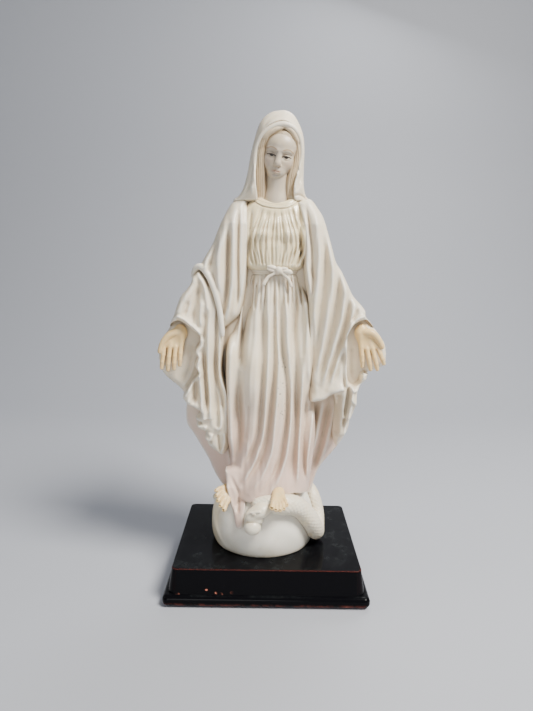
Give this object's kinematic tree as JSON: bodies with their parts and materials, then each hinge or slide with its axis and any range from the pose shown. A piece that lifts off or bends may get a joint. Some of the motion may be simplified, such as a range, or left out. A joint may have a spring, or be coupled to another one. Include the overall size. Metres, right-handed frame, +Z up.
{
  "type": "madonna statue",
  "caption": "Standing veiled woman with open hands and wide hanging sleeves, on a globe with a serpent, on a stepped lacquered plinth.",
  "frame": {"origin": "centre of the plinth's underside, on the felt's lower face", "axes": "+Z up, the figure faces -Y, its left hand is at +X"},
  "size_m": [0.156, 0.1078, 0.3086],
  "materials": {
    "lacquer": "gloss black lacquer over a red-brown undercoat, worn at the edges",
    "felt": "dark green felt",
    "screw_steel": "zinc-plated steel",
    "insert_brass": "turned brass",
    "globe_paint": "satin stone colour with brown wash",
    "serpent_paint": "satin brown-green wash over ivory",
    "apple_paint": "satin red-brown",
    "skin_hands": "satin yellow-cream",
    "skin_face": "satin grey-ivory with painted eyes, brows and lips",
    "hair_paint": "satin brown wash",
    "skirt_cast": "satin ivory with a pinkish wash low down",
    "bodice_cast": "glossy cream",
    "sash_cast": "satin cream",
    "mantle_cast": "satin ivory with warm brown in the folds"
  },
  "bodies": {
    "root": {"plinth_bead_board": "lacquer", "plinth_top_block": "lacquer", "felt_sheet": "felt", "fixing_screws": "screw_steel", "washers": "screw_steel", "threaded_inserts": "insert_brass", "globe": "globe_paint", "serpent_body": "serpent_paint", "serpent_head": "serpent_paint", "apple": "apple_paint", "right_foot": "skin_hands", "left_foot": "skin_hands", "skirt": "skirt_cast", "sash": "sash_cast", "bodice": "bodice_cast", "sash_bow": "sash_cast", "head": "skin_face", "hair": "hair_paint", "right_hand": "skin_hands", "left_hand": "skin_hands", "mantle": "mantle_cast", "right_sleeve": "mantle_cast", "left_sleeve": "mantle_cast", "veil": "mantle_cast"}
  },
  "joints": []
}
